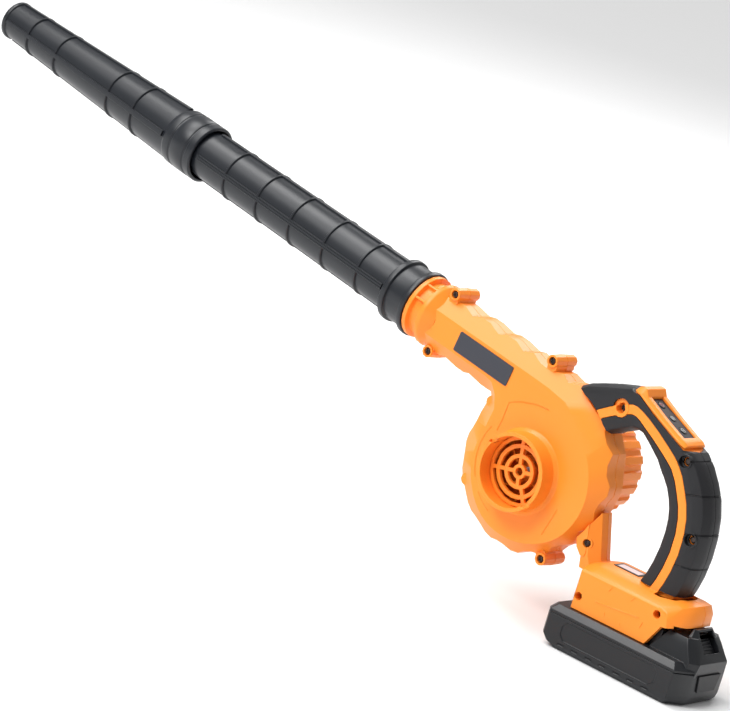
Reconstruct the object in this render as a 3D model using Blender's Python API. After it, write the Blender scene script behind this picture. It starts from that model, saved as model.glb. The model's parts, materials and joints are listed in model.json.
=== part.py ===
"""Cordless leaf blower: two-part fan housing, loop handle, slide-in battery and blow tube.

Metres in the scene, millimetres in this file. +Z up, the tube points to -X, the air inlet
faces -Y, the battery slides out to +X. The origin is the middle of the battery's underside.
"""
import math

import bmesh
import bpy
from mathutils import Matrix, Vector

MM = 0.001
GAP = 0.3                      # clearance between neighbouring pieces

# fan housing
FAN_X = -128.0                 # fan axis, parallel to Y
FAN_Z = 108.4
TILT = math.radians(9.7)       # rise of the duct and tube
FACE_Y = 20.0                  # flat faces of the housing halves
RIM_Y = 11.0                   # half width of the scalloped rim
WALL = 2.2
DUCT_TOP = 76.6                # duct edges, measured square to the tube axis from the fan axis
DUCT_LOW = 36.6
DUCT_END = 136.0               # along the tube axis from the fan axis
TUBE_V = 57.4                  # height of the tube axis above the fan axis
SCALLOP = 2.8
SCALLOP_PITCH = 26.4
SCALLOP_SHIFT = 0.0
PORT_R = 30.4
PORT_BORE = 27.2
PORT_Y = -37.0
BOSS_R = 5.0
BOSS_Y = 13.6

# motor and fan
MOTOR_R = 21.0
COVER_R = 40.0
COVER_Y = 80.0
COVER_SHIFT = (6.0, 8.0)      # cover centre from the fan axis, X and Z
FAN_R = 47.6
BLADES = 9

# tube and nozzle, distances along the tube axis from the fan axis
TUBE_START = 155.5
TUBE_LEN = 282.0
NOZZLE_START = 411.5
NOZZLE_LEN = 259.5

# handle base and battery
BASE_Z = 32.4
BASE_TOP = 69.6
BASE_HALF = 29.0
CELL_R = 9.1
CELL_LEN = 65.0
CELL_PITCH = 19.6
PACK_HALF = 37.0
SEAM_Z = 25.0
DECK_Z = 32.0

for old in list(bpy.data.objects):
    bpy.data.objects.remove(old, do_unlink=True)


# ---------------------------------------------------------------- materials

def paint(name, colour, roughness, metallic=0.0):
    """A plain Principled material."""
    mat = bpy.data.materials.new(name)
    mat.use_nodes = True
    node = mat.node_tree.nodes["Principled BSDF"]
    node.inputs["Base Color"].default_value = (*colour, 1.0)
    node.inputs["Roughness"].default_value = roughness
    node.inputs["Metallic"].default_value = metallic
    mat.diffuse_color = (*colour, 1.0)
    return mat


ORANGE = paint("orange_plastic", (1.0, 0.275, 0.03), 0.38)
BLACK = paint("black_plastic", (0.014, 0.015, 0.018), 0.36)
GRIP = paint("grip_rubber", (0.022, 0.022, 0.024), 0.62)
PANEL = paint("panel_film", (0.035, 0.025, 0.028), 0.3)
STEEL = paint("steel", (0.55, 0.55, 0.56), 0.32, 1.0)
DARK_STEEL = paint("dark_screw", (0.06, 0.055, 0.055), 0.35, 1.0)
COPPER = paint("brass_contact", (0.78, 0.55, 0.22), 0.3, 1.0)
BOARD = paint("circuit_board", (0.02, 0.14, 0.05), 0.5)
CELL = paint("cell_wrap", (0.03, 0.16, 0.32), 0.4)
LABEL = paint("label_plate", (0.03, 0.033, 0.045), 0.45)
PALE = paint("pale_sticker", (0.72, 0.5, 0.5), 0.5)


# ---------------------------------------------------------------- mesh helpers

def flat(face):
    """Whether all corners of a face lie in one plane."""
    mid = face.calc_center_median()
    return all(abs((v.co - mid).dot(face.normal)) < 1e-7 for v in face.verts)


def mesh_object(name, points, faces, mat):
    """A closed mesh in world millimetres."""
    mesh = bpy.data.meshes.new(name)
    mesh.from_pydata([tuple(c * MM for c in p) for p in points], [], faces)
    bm = bmesh.new()
    bm.from_mesh(mesh)
    bmesh.ops.recalc_face_normals(bm, faces=bm.faces)
    bent = [f for f in bm.faces if not flat(f)]
    bmesh.ops.triangulate(bm, faces=bent)
    bm.to_mesh(mesh)
    bm.free()
    obj = bpy.data.objects.new(name, mesh)
    bpy.context.collection.objects.link(obj)
    if mat is not None:
        mesh.materials.append(mat)
    return obj


def sweep(name, rings, mat=None, closed=False):
    """Skin a list of equal rings; the ends are capped unless the sweep closes on itself."""
    count = len(rings[0])
    points = [p for ring in rings for p in ring]
    faces = []
    spans = len(rings) if closed else len(rings) - 1
    for i in range(spans):
        a = i * count
        b = ((i + 1) % len(rings)) * count
        for j in range(count):
            k = (j + 1) % count
            faces.append((a + j, a + k, b + k, b + j))
    if not closed:
        faces.append(tuple(range(count)))
        faces.append(tuple(range(len(points) - count, len(points))))
    return mesh_object(name, points, faces, mat)


def axes_for(direction):
    """Two unit vectors square to a direction."""
    d = Vector(direction).normalized()
    side = Vector((0, 1, 0)) if abs(d.y) < 0.9 else Vector((1, 0, 0))
    e1 = side.cross(d).normalized()
    return d, e1, d.cross(e1)


def circle(origin, direction, along, radius, sides, turn=0.0):
    """Points of a circle square to a direction."""
    d, e1, e2 = axes_for(direction)
    base = Vector(origin) + d * along
    out = []
    for i in range(sides):
        a = turn + 2 * math.pi * i / sides
        out.append(base + e1 * radius * math.cos(a) + e2 * radius * math.sin(a))
    return out


def turned(name, origin, direction, levels, sides, mat=None, turn=0.0):
    """A solid turned about an axis from (radius, distance) levels."""
    rings = [circle(origin, direction, h, r, sides, turn) for r, h in levels]
    return sweep(name, rings, mat)


def hollow_turned(name, origin, direction, profile, angles, mat=None, closed=True):
    """A ring turned from a closed (radius, distance) profile through a list of angles."""
    d, e1, e2 = axes_for(direction)
    rings = []
    for a in angles:
        spoke = e1 * math.cos(a) + e2 * math.sin(a)
        rings.append([Vector(origin) + d * h + spoke * r for r, h in profile])
    return sweep(name, rings, mat, closed)


def full_circle(sides):
    """Angles round a whole turn."""
    return [2 * math.pi * i / sides for i in range(sides)]


def block(name, xs, ys, zs, mat=None):
    """A box between pairs of limits."""
    rings = []
    for y in ys:
        rings.append([(xs[0], y, zs[0]), (xs[1], y, zs[0]), (xs[1], y, zs[1]), (xs[0], y, zs[1])])
    return sweep(name, rings, mat)


def slab(name, outline, ys, mat=None):
    """An XZ outline carried between two depths."""
    return sweep(name, [[(x, y, z) for x, z in outline] for y in ys], mat)


def boolean(obj, tool, operation="DIFFERENCE"):
    """Apply one exact Boolean and drop the tool."""
    mod = obj.modifiers.new("bool", "BOOLEAN")
    mod.operation = operation
    mod.solver = "EXACT"
    mod.object = tool
    graph = bpy.context.evaluated_depsgraph_get()
    result = bpy.data.meshes.new_from_object(obj.evaluated_get(graph))
    obj.modifiers.remove(mod)
    obj.data = result
    bpy.data.objects.remove(tool, do_unlink=True)
    return obj


def merged(tools):
    """Several separate bodies as one tool."""
    first = tools[0]
    bm = bmesh.new()
    for tool in tools:
        bm.from_mesh(tool.data)
    bm.to_mesh(first.data)
    bm.free()
    for tool in tools[1:]:
        bpy.data.objects.remove(tool, do_unlink=True)
    return first


def add(obj, *tools):
    """Union with separate bodies, one after another."""
    for tool in tools:
        boolean(obj, tool, "UNION")
    return obj


def cut(obj, *tools):
    """Cut with separate bodies that don't touch each other."""
    return boolean(obj, merged(list(tools)))


def tidy(obj, angle=35.0):
    """Merge stray points, dissolve flat edges and shade smooth with sharp corners."""
    bm = bmesh.new()
    bm.from_mesh(obj.data)
    bmesh.ops.remove_doubles(bm, verts=bm.verts, dist=2e-6)
    bmesh.ops.dissolve_degenerate(bm, dist=2e-6, edges=bm.edges)
    bmesh.ops.dissolve_limit(bm, angle_limit=math.radians(0.4), verts=bm.verts, edges=bm.edges)
    bmesh.ops.triangulate(bm, faces=[f for f in bm.faces if len(f.verts) > 3])
    bmesh.ops.recalc_face_normals(bm, faces=bm.faces)
    bm.to_mesh(obj.data)
    bm.free()
    obj.data.shade_smooth()
    obj.data.set_sharp_from_angle(angle=math.radians(angle))
    return obj


def hinge_at(obj, point, direction=None):
    """Put an object's origin on its joint, with local Z along the joint axis."""
    frame = Matrix.Translation(Vector(point) * MM)
    if direction is not None:
        d, e1, e2 = axes_for(direction)
        turn = Matrix((e1, e2, d)).transposed().to_4x4()
        frame = frame @ turn
    obj.data.transform(frame.inverted())
    obj.matrix_world = frame
    return obj


# ---------------------------------------------------------------- duct frame

AXIS = Vector((-math.cos(TILT), 0.0, math.sin(TILT)))
RISE = Vector((math.sin(TILT), 0.0, math.cos(TILT)))
FAN = Vector((FAN_X, 0.0, FAN_Z))
COVER_AT = FAN + Vector((COVER_SHIFT[0], 0.0, COVER_SHIFT[1]))


def duct_point(u, v, y=0.0):
    """World point u along and v above the tube direction from the fan axis."""
    p = FAN + AXIS * u + RISE * v
    return Vector((p.x, y, p.z))


TUBE_ORIGIN = duct_point(0.0, TUBE_V)

# radius of the scroll at angles from the tube direction, rim edge then face edge
SCROLL = (
    (15, 61.5, 47.6), (0, 61.3, 47.0), (-15, 61.3, 47.2), (-45, 61.3, 48.6), (-75, 61.0, 51.6),
    (-105, 61.0, 53.0), (-130, 60.8, 55.2), (-145, 61.2, 57.6), (-160, 62.2, 59.2),
    (-175, 65.0, 60.2), (-190, 68.0, 60.6), (-207, 70.6, 60.2), (-225, 74.0, 59.6),
    (-242, 76.6, 60.6), (-257, 77.2, 62.4),
)


def scroll_radius(angle, which):
    """Scroll radius by straight interpolation in the table."""
    rows = SCROLL
    if angle >= rows[0][0]:
        return rows[0][which]
    for a, b in zip(rows, rows[1:]):
        if b[0] <= angle <= a[0]:
            t = (angle - a[0]) / (b[0] - a[0])
            return a[which] + (b[which] - a[which]) * t
    return rows[-1][which]


def paired_outline():
    """Matching (rim, face) outline points in the duct frame, once round."""
    pairs = [((DUCT_END, DUCT_LOW), (DUCT_END, DUCT_LOW + 9.4))]
    for u in (127, 119, 112, 100, 92, 85, 73, 66):
        pairs.append(((u, DUCT_LOW), (u, DUCT_LOW + 9.4)))
    pairs.append(((60.0, 35.0), (58.0, 44.5)))
    pairs.append(((57.4, 31.0), (51.0, 38.0)))
    pairs.append(((58.4, 24.0), (46.0, 28.0)))
    angle = 15.0
    while angle > -256.0:
        rim = scroll_radius(angle, 1)
        face = scroll_radius(angle, 2)
        c = math.cos(math.radians(angle))
        s = math.sin(math.radians(angle))
        pairs.append(((rim * c, rim * s), (face * c, face * s)))
        angle -= 6.2
    for u in (-8, 2, 10, 22, 30, 42, 49, 60, 69, 76, 88, 96, 104, 115, 123):
        drop = 9.4 + 4.0 * max(0.0, (12 - u) / 40.0)
        pairs.append(((u, DUCT_TOP), (u, DUCT_TOP - drop)))
    pairs.append(((DUCT_END, DUCT_TOP), (DUCT_END, DUCT_TOP - 9.4)))
    return pairs


PAIRS = paired_outline()


def offset(outline, amount):
    """Move a closed outline outwards by an amount (a number or one per point)."""
    count = len(outline)
    area = 0.0
    for i in range(count):
        a = outline[i]
        b = outline[(i + 1) % count]
        area += a[0] * b[1] - b[0] * a[1]
    sign = 1.0 if area > 0 else -1.0
    out = []
    for i in range(count):
        p = Vector(outline[i])
        before = (p - Vector(outline[i - 1])).normalized()
        after = (Vector(outline[(i + 1) % count]) - p).normalized()
        normal = Vector((before.y + after.y, -before.x - after.x)).normalized() * sign
        reach = max(0.5, Vector((before.y, -before.x)).dot(normal) * sign)
        step = amount[i] if isinstance(amount, list) else amount
        q = p + normal * step / reach
        out.append((q.x, q.y))
    return out


def scallop_heights(outline):
    """Stepped wave along an outline; still at the duct's outlet corners."""
    out = []
    run = 0.0
    for i, p in enumerate(outline):
        if i:
            run += (Vector(p) - Vector(outline[i - 1])).length
        phase = ((run + SCALLOP_SHIFT) % SCALLOP_PITCH) / SCALLOP_PITCH
        out.append(SCALLOP if 0.18 < phase < 0.68 else 0.0)
    out[0] = 0.0
    out[-1] = 0.0
    return out


RIM = [p[0] for p in PAIRS]
FACE = [p[1] for p in PAIRS]
HEIGHTS = scallop_heights(RIM)
SCALLOPED = offset(RIM, HEIGHTS)


def at_depth(outline, y):
    """Duct-frame outline placed at a depth."""
    return [duct_point(u, v, y) for u, v in outline]


# ---------------------------------------------------------------- fan housing halves

BOSSES = {"duct_top": (125.6, 83.6), "duct_low": (127.1, 32.4), "scroll_top": (21.3, 84.0),
          "scroll_low": (-43.1, -51.5), "tongue": (54.6, 29.0), "front": (46.0, -34.6)}


def volute_half(name, side):
    """One half of the fan housing, open along the middle plane."""
    inner_rim = offset(RIM, -WALL)
    inner_face = offset(FACE, -WALL * 0.8)
    edge = [duct_point(u, v, side * (RIM_Y + 0.8 - h)) for (u, v), h in zip(SCALLOPED, HEIGHTS)]
    rings = [
        at_depth(FACE, side * FACE_Y),
        edge,
        at_depth(SCALLOPED, side * GAP / 2),
        at_depth(inner_rim, side * GAP / 2),
        at_depth(inner_rim, side * (RIM_Y - 0.8)),
        at_depth(inner_face, side * (FACE_Y - WALL)),
    ]
    shell = sweep(name, rings, ORANGE)
    # screw bosses on the rim
    for u, v in BOSSES.values():
        p = duct_point(u, v)
        inward = FAN - p if u < 60.0 else RISE * (TUBE_V - v)
        root = p + inward.normalized() * 4.4
        web = [(BOSS_R + 0.6, GAP / 2), (BOSS_R - 0.4, BOSS_Y - 1.6)]
        add(shell, turned("web", root, (0, side, 0), web, 8, None, 0.3))
        levels = [(BOSS_R + 0.5, GAP / 2), (BOSS_R, BOSS_Y)]
        add(shell, turned("boss", p, (0, side, 0), levels, 10))
    # outlet spigot: two rings, a neck and the socket the tube slides over
    start = -math.pi if side < 0 else 0.0
    sweep_angles = [start + math.pi * i / 12 for i in range(13)]
    profile = ((20.0, 128.0), (26.0, 136.5), (26.6, 138.0), (26.6, 141.0), (22.4, 141.8),
               (22.4, 150.4), (26.4, 151.2), (26.4, 154.9), (21.4, 155.2), (20.4, 172.0),
               (18.4, 172.0), (18.4, 128.0))
    spigot = hollow_turned("spigot", TUBE_ORIGIN, AXIS, profile, sweep_angles, None, False)
    for v in spigot.data.vertices:
        v.co.y += side * GAP / 2 * MM
    add(shell, spigot)
    for angle in (0.42, 0.98) if side < 0 else (0.7,):
        spoke = Vector((0, side * math.cos(angle), 0)) + RISE * math.sin(angle)
        spine = spoke.cross(AXIS) * 0.9
        ring = []
        for u in (141.0, 151.6):
            near = duct_point(u, TUBE_V) + spoke * 21.6
            far = duct_point(u, TUBE_V) + spoke * 25.6
            ring.append([near - spine, near + spine, far + spine, far - spine])
        add(shell, sweep("spigot_rib", ring))
    bore = turned("bore", TUBE_ORIGIN, AXIS, [(18.4, 120.0), (18.4, 180.0)], 24)
    cut(shell, bore)
    return shell


def screw_hole(point, side, pilot, head, head_y, out_y, far):
    """Stepped screw hole from the outside to the middle plane."""
    levels = [(pilot, far), (pilot, head_y), (head, head_y + 0.01), (head, out_y)]
    return turned("hole", (point[0], 0, point[2]), (0, side, 0), levels, 8)


front = volute_half("volute_front", -1)
collar = ((PORT_BORE - 2.0, -18.4), (PORT_BORE - 2.0, PORT_Y), (PORT_R, PORT_Y), (PORT_R + 0.4, -23.0),
          (PORT_R + 2.4, -20.6), (PORT_R + 4.4, -19.2), (PORT_R + 4.4, -18.4))
add(front, hollow_turned("port", FAN, (0, 1, 0), collar, full_circle(32)))
cut(front, turned("opening", FAN, (0, 1, 0), [(PORT_BORE, -50.0), (PORT_BORE, -8.0)], 32))
for angle in (2.45, -0.7):
    c = FAN + Vector((math.cos(angle), 0, math.sin(angle))) * (PORT_BORE + 0.6)
    cut(front, block("notch", (c.x - 3.5, c.x + 3.5), (PORT_Y - 1, PORT_Y + 3.2),
                     (c.z - 2.6, c.z + 2.6)))

rear = volute_half("volute_rear", 1)
cut(rear, turned("shaft_hole", FAN, (0, 1, 0), [(8.0, 10.0), (8.0, 30.0)], 20))

SCREWED = ("duct_top", "duct_low", "scroll_top", "scroll_low")
REVERSED = ("tongue", "front")
holes_front = []
holes_rear = []
for key in SCREWED:
    p = duct_point(*BOSSES[key])
    holes_front.append(screw_hole(p, -1, 1.5, 3.4, BOSS_Y - 3.2, BOSS_Y + 2, -1))
    holes_rear.append(screw_hole(p, 1, 1.5, 1.6, 9.0, 9.2, -1))
for key in REVERSED:
    p = duct_point(*BOSSES[key])
    holes_rear.append(screw_hole(p, 1, 1.5, 3.4, BOSS_Y - 3.2, BOSS_Y + 2, -1))
    holes_front.append(screw_hole(p, -1, 1.5, 1.6, 9.0, 9.2, -1))
cut(front, *holes_front)
cut(rear, *holes_rear)


def screw(name, point, side, head_y, shank, cross_cut=True):
    """Pan-head screw with a cross recess, its head facing out."""
    levels = [(1.2, head_y - shank), (1.2, head_y), (2.9, head_y + 0.05), (2.9, head_y + 1.2),
              (2.0, head_y + 2.2)]
    obj = turned(name, (point[0], 0, point[2]), (0, side, 0), levels, 8, DARK_STEEL)
    if not cross_cut:
        return tidy(obj)
    y = side * (head_y + 1.2)
    out = side * (head_y + 3.0)
    arm = 1.55
    slot = 0.36
    cross = [(arm, slot), (slot, slot), (slot, arm), (-slot, arm), (-slot, slot), (-arm, slot),
             (-arm, -slot), (-slot, -slot), (-slot, -arm), (slot, -arm), (slot, -slot),
             (arm, -slot)]
    shape = [(point[0] + a * 0.82 - b * 0.57, point[2] + a * 0.57 + b * 0.82) for a, b in cross]
    cut(obj, slab("recess", shape, (y, out)))
    return tidy(obj)


for i, key in enumerate(SCREWED):
    screw("housing_screw_%d" % (i + 1), duct_point(*BOSSES[key]), -1, BOSS_Y - 2.9, 18.0)
for i, key in enumerate(REVERSED):
    screw("housing_screw_%d" % (i + 5), duct_point(*BOSSES[key]), 1, BOSS_Y - 2.9, 18.0)

tidy(front)
tidy(rear)

# inlet guard: a hub and three rings on spokes, seated in the inlet
guard_y = (-24.2, -21.0)
rings_at = ((3.2, 5.8), (10.5, 13.6), (18.0, 21.2), (24.2, PORT_BORE - GAP))
bands = []
for r0, r1 in rings_at:
    profile = ((r0, guard_y[0]), (r1, guard_y[0]), (r1, guard_y[1]), (r0, guard_y[1]))
    bands.append(hollow_turned("band", FAN, (0, 1, 0), profile, full_circle(20)))
guard = merged(bands)
guard.name = "inlet_guard"
guard.data.name = "inlet_guard"
guard.data.materials.append(ORANGE)
spokes = [(100, 4.8, 11.5), (10, 4.8, 11.5), (-80, 4.8, 11.5), (190, 4.8, 11.5),
          (100, 12.6, 24.8), (-62, 12.6, 24.8), (190, 12.6, 24.8)]
for angle, r0, r1 in spokes:
    a = math.radians(angle)
    out = Vector((math.cos(a), 0, math.sin(a)))
    side = Vector((-out.z, 0, out.x)) * 1.5
    ring = []
    for r in (r0, r1):
        c = FAN + out * r
        ring.append([c + side + Vector((0, y, 0)) for y in guard_y]
                    + [c - side + Vector((0, y, 0)) for y in reversed(guard_y)])
    add(guard, sweep("spoke", ring))
tidy(guard)

# blank plate on the duct
plate = [(45.8, 48.4), (100.8, 48.4), (101.6, 49.2), (101.6, 63.8), (100.8, 64.6),
         (45.8, 64.6), (45.0, 63.8), (45.0, 49.2)]
tidy(sweep("duct_plate", [at_depth(plate, -FACE_Y - 0.1), at_depth(plate, -FACE_Y - 0.8)], LABEL))


# ---------------------------------------------------------------- motor, shaft and fan

def scalloped_circle(radius, depth, teeth, y):
    """Gear-like outline of axial cooling ribs."""
    out = []
    for i in range(teeth):
        for part, drop in ((0.0, 0.0), (0.46, 0.0), (0.56, depth), (0.9, depth)):
            a = 2 * math.pi * (i + part) / teeth
            r = radius - drop
            out.append((COVER_AT.x + r * math.cos(a), y, COVER_AT.z + r * math.sin(a)))
    return out


TEETH = 20
cover_rings = [
    scalloped_circle(COVER_R + 1.0, 2.4, TEETH, FACE_Y + GAP),
    scalloped_circle(COVER_R, 2.4, TEETH, COVER_Y - 7.0),
    scalloped_circle(COVER_R - 2.6, 1.4, TEETH, COVER_Y - 2.0),
    scalloped_circle(COVER_R - 8.0, 0.2, TEETH, COVER_Y),
]
cover = sweep("motor_cover", cover_rings, ORANGE)
cut(cover, turned("inside", COVER_AT, (0, 1, 0), [(COVER_R - 4.2, 10.0), (COVER_R - 4.8, COVER_Y - 8.0),
                                             (COVER_R - 9.0, COVER_Y - 2.4)], 28))
slots = []
for i in range(8):
    a = 2 * math.pi * (i + 0.5) / 8
    out = Vector((math.cos(a), 0, math.sin(a)))
    side = Vector((-out.z, 0, out.x)) * 1.6
    ring = []
    for r in (13.0, 26.0):
        c = FAN + out * r
        ring.append([c + side + Vector((0, 74.0, 0)), c + side + Vector((0, 84.0, 0)),
                     c - side + Vector((0, 84.0, 0)), c - side + Vector((0, 74.0, 0))])
    slots.append(sweep("slot", ring))
cut(cover, *slots)
tidy(cover)

can = turned("motor_can", FAN, (0, 1, 0), [(7.4, 17.6), (7.4, 20.8), (MOTOR_R, 20.9),
                                           (MOTOR_R, 66.0)], 18, STEEL)
cut(can, turned("inside", FAN, (0, 1, 0), [(5.3, 10.0), (5.3, 22.4), (MOTOR_R - 1.4, 22.5),
                                           (MOTOR_R - 1.4, 70.0)], 18))
tidy(can)
profile = ((5.3, 66.3), (MOTOR_R, 66.3), (MOTOR_R, 69.0), (8.6, 69.6), (8.6, 72.0), (5.3, 72.0))
tidy(hollow_turned("motor_end_cap", FAN, (0, 1, 0), profile, full_circle(18), BLACK))
for name, y0 in (("front_bearing", 18.2), ("rear_bearing", 67.6)):
    profile = ((1.8, y0), (5.0, y0), (5.0, y0 + 4.0), (1.8, y0 + 4.0))
    tidy(hollow_turned(name, FAN, (0, 1, 0), profile, full_circle(12), STEEL))

shaft = turned("motor_shaft", FAN, (0, 1, 0), [(1.2, -15.0), (1.5, -14.4), (1.5, 71.6)], 12, STEEL)
hinge_at(tidy(shaft), FAN, (0, 1, 0))
profile = ((1.8, 28.0), (5.0, 28.0), (5.0, 32.0), (17.6, 32.2), (17.6, 56.0), (6.0, 56.2),
           (6.0, 64.0), (1.8, 64.0))
armature = hollow_turned("armature", FAN, (0, 1, 0), profile, full_circle(16), STEEL)
hinge_at(tidy(armature), FAN, (0, 1, 0))

profile = ((1.8, -8.4), (5.6, -8.4), (6.6, 1.0), (FAN_R, 4.4), (FAN_R, 6.0), (8.0, 6.2),
           (8.0, 9.0), (1.8, 9.0))
impeller = hollow_turned("impeller", FAN, (0, 1, 0), profile, full_circle(18), ORANGE)
blades = []
for i in range(BLADES):
    rings = []
    for step in range(5):
        r = 12.0 + (FAN_R - 1.2 - 12.0) * step / 4
        a = 2 * math.pi * i / BLADES - 0.9 * (step / 4) ** 1.2
        out = Vector((math.cos(a), 0, math.sin(a)))
        side = Vector((-out.z, 0, out.x)) * 0.8
        c = FAN + out * r
        top = -13.2 + 3.2 * step / 4
        low = 3.4 + 1.2 * step / 4
        rings.append([c - side + Vector((0, top, 0)), c + side + Vector((0, top, 0)),
                      c + side + Vector((0, low, 0)), c - side + Vector((0, low, 0))])
    blades.append(sweep("blade", rings))
add(impeller, merged(blades))
hinge_at(tidy(impeller), FAN, (0, 1, 0))
profile = ((1.8, -12.4), (3.6, -12.4), (3.6, -8.8), (1.8, -8.8))
nut = hollow_turned("impeller_nut", FAN, (0, 1, 0), profile, full_circle(6), STEEL)
hinge_at(tidy(nut), FAN, (0, 1, 0))


# ---------------------------------------------------------------- handle

# stations round the loop: outer edge, inner edge, stripe centre from the outer edge,
# outer corner radius, and whether the grip wraps over the outer edge
STATIONS = (
    (-118.0, 179.0, -84.0, 150.0, 29.0, 9.0, True),
    (-99.0, 190.3, -66.5, 163.5, 26.0, 9.0, True),
    (-84.0, 195.6, -60.5, 166.5, 21.5, 9.0, True),
    (-72.0, 198.8, -56.0, 169.0, 18.4, 8.0, True),
    (-60.6, 201.4, -52.0, 171.2, 16.4, 5.0, True),
    (-57.6, 201.8, -50.4, 171.8, 15.8, 4.0, False),
    (-52.0, 200.6, -47.8, 172.4, 14.4, 3.0, False),
    (-45.4, 197.0, -44.8, 171.8, 12.4, 3.0, False),
    (-35.4, 191.6, -41.6, 171.0, 10.8, 3.0, False),
    (-23.4, 185.8, -33.8, 165.4, 11.4, 3.0, False),
    (-10.4, 179.6, -23.4, 157.0, 13.0, 3.0, False),
    (-2.0, 175.8, -17.0, 149.6, 14.6, 4.0, False),
    (2.4, 173.6, -13.8, 146.4, 15.6, 6.0, True),
    (11.8, 166.6, -9.0, 140.6, 17.8, 9.0, True),
    (20.0, 156.6, -5.4, 134.0, 19.0, 10.0, True),
    (26.4, 146.0, -2.8, 127.6, 19.2, 10.0, True),
    (31.0, 133.0, -1.2, 120.6, 18.8, 10.0, True),
    (33.8, 117.6, -0.4, 111.6, 18.6, 10.0, True),
    (34.4, 101.0, -0.8, 99.4, 18.8, 10.0, True),
    (33.0, 86.0, -2.6, 87.4, 19.2, 10.0, True),
    (30.4, 74.0, -5.2, 77.4, 19.4, 10.0, True),
    (26.4, 62.0, -9.0, 68.0, 19.4, 10.0, True),
)
DEPTH = 16.0
STRIPE = 3.5
SKIN = 1.8                     # rubber grips
SEAT = SKIN + GAP              # how far the shell stands back under them
TUCK = 4.4                     # inside of the shell


def station_frame(station, side):
    """Maps (distance from the outer edge, depth) to a world point."""
    ox, oz, ix, iz = station[:4]
    width = math.hypot(ix - ox, iz - oz)
    ex = (ix - ox) / width
    ez = (iz - oz) / width

    def place(t, d):
        return (ox + ex * t, side * (GAP / 2 + d), oz + ez * t)

    return place, width


def shell_ring(station, side):
    """Open C section of a handle half: outside, then back along the inside."""
    place, width = station_frame(station, side)
    ts, ro = station[4], station[5]
    ri = 8.0
    d = DEPTH
    a, b = ts - STRIPE, ts + STRIPE
    k = 0.293
    outside = [
        (SEAT, 0), (SEAT, d - ro), (SEAT + ro * k * 0.8, d - ro * k - SEAT * 0.6),
        (max(ro, SEAT + 1.0), d - SEAT), (a - 0.2, d - SEAT), (a, d), (b, d),
        (b + 0.2, d - SEAT), (max(width - ri, b + 0.6), d - SEAT),
        (width - SEAT - ri * k * 0.8, d - ri * k - SEAT * 0.6), (width - SEAT, d - ri),
        (width - SEAT, 0),
    ]
    inside = [(width - TUCK, 0), (width - TUCK, d - ri - 1.0), (width - ri, d - TUCK),
              (max(ro, TUCK + 0.8), d - TUCK), (TUCK, d - ro - 1.0), (TUCK, 0)]
    return [place(t, q) for t, q in outside + inside]


def outer_grip_ring(station, side, room=0.0):
    """Section of the outer rubber, from the seam (or the bezel's edge) to the stripe.

    With room it is the space the rubber needs in the shell, a little deeper and open outwards.
    """
    place, width = station_frame(station, side)
    ts, ro, wraps = station[4:7]
    d = DEPTH
    k = 0.293
    a = ts - STRIPE - GAP
    skin = SKIN + room
    out = 4.0 if room else 0.0
    if wraps:
        top = [(-out, -room), (-out, d - ro), (ro * k - out * 0.7, d - ro * k + out * 0.7), (ro, d + out),
               (a, d + out)]
        low = [(a, d - skin), (ro, d - skin), (skin + ro * k * 0.8, d - ro * k - skin * 0.6),
               (skin, d - ro), (skin, -room)]
    else:
        e = 2.6
        top = [(e, d + out), (e + 0.5, d + out), (e + 1.0, d + out), (e + 1.6, d + out), (a, d + out)]
        low = [(a, d - skin), (e + 1.6, d - skin), (e + 1.0, d - skin), (e + 0.5, d - skin),
               (e, d - skin)]
    return [place(t, q) for t, q in top + low]


def inner_grip_ring(station, side):
    """Section of the inner rubber strip, from the stripe to the seam."""
    place, width = station_frame(station, side)
    b = station[4] + STRIPE + GAP + 0.2
    d = DEPTH
    ri = 8.0
    k = 0.293
    top = [(b, d), (max(width - ri, b + 0.6), d), (width - ri * k, d - ri * k),
           (width, d - ri), (width, 0)]
    low = [(width - SKIN, 0), (width - SKIN, d - ri),
           (width - SKIN - ri * k * 0.8, d - ri * k - SKIN * 0.6),
           (max(width - ri, b + 0.6), d - SKIN), (b, d - SKIN)]
    return [place(t, q) for t, q in top + low]


def volute_clearance():
    """The fan housing's outside, a little larger, to trim the handle against."""
    wide = offset(RIM, SCALLOP + 0.4)
    return sweep("clearance", [at_depth(wide, -26.0), at_depth(wide, 26.0)])


EYELET = (-63.5, 0.0, 184.0)
HANDLE_SCREWS = (EYELET, (1.0, 0.0, 166.4), (24.6, 0.0, 114.4), (24.4, 0.0, 56.8),
                 (-43.4, 0.0, 42.6), (-59.6, 0.0, 77.4))
HEAD_Y = (10.0, 9.0, 9.0, 20.0, 20.0, 10.6)
WELL = 4.6                     # rubber-lined screw wells in the grip


def base_rings(side, grow):
    """Skirted base of the handle, stepping in towards its side."""
    g = grow
    levels = (
        (GAP / 2, -48.6, 66.5, 69.6, 44.0, 69.4, 47.2, 64.0, 47.4, 54.0),
        (12.0, -48.6, 66.5, 69.6, 43.0, 69.0, 46.4, 63.6, 46.8, 53.8),
        (20.0, -48.2, 65.6, 67.4, 38.6, 66.4, 42.0, 61.0, 42.6, 52.4),
        (27.6, -47.6, 63.2, 63.6, 31.4, 62.0, 35.0, 58.2, 36.6, 50.6),
        (BASE_HALF, -47.0, 61.4, 61.6, 29.8, 60.4, 33.4, 57.6, 35.0, 50.2),
    )
    rings = []
    for y, xf, zf, zt, x1, z1, x2, z2, x3, z3 in levels:
        depth = y if y < 1.0 else y + g
        rings.append([(x, side * depth, z) for x, z in (
            (xf - g, BASE_Z), (xf - g, 50.4), (xf - g, zf + g), (-38.0, zt + g), (x1 - 6.0, zt + g),
            (x1 + g, z1 + g), (x2 + g, z2), (x3 + g, z3 - g), (30.6 + g, 49.6 - g),
            (21.2 + g, BASE_Z))])
    return rings


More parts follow.
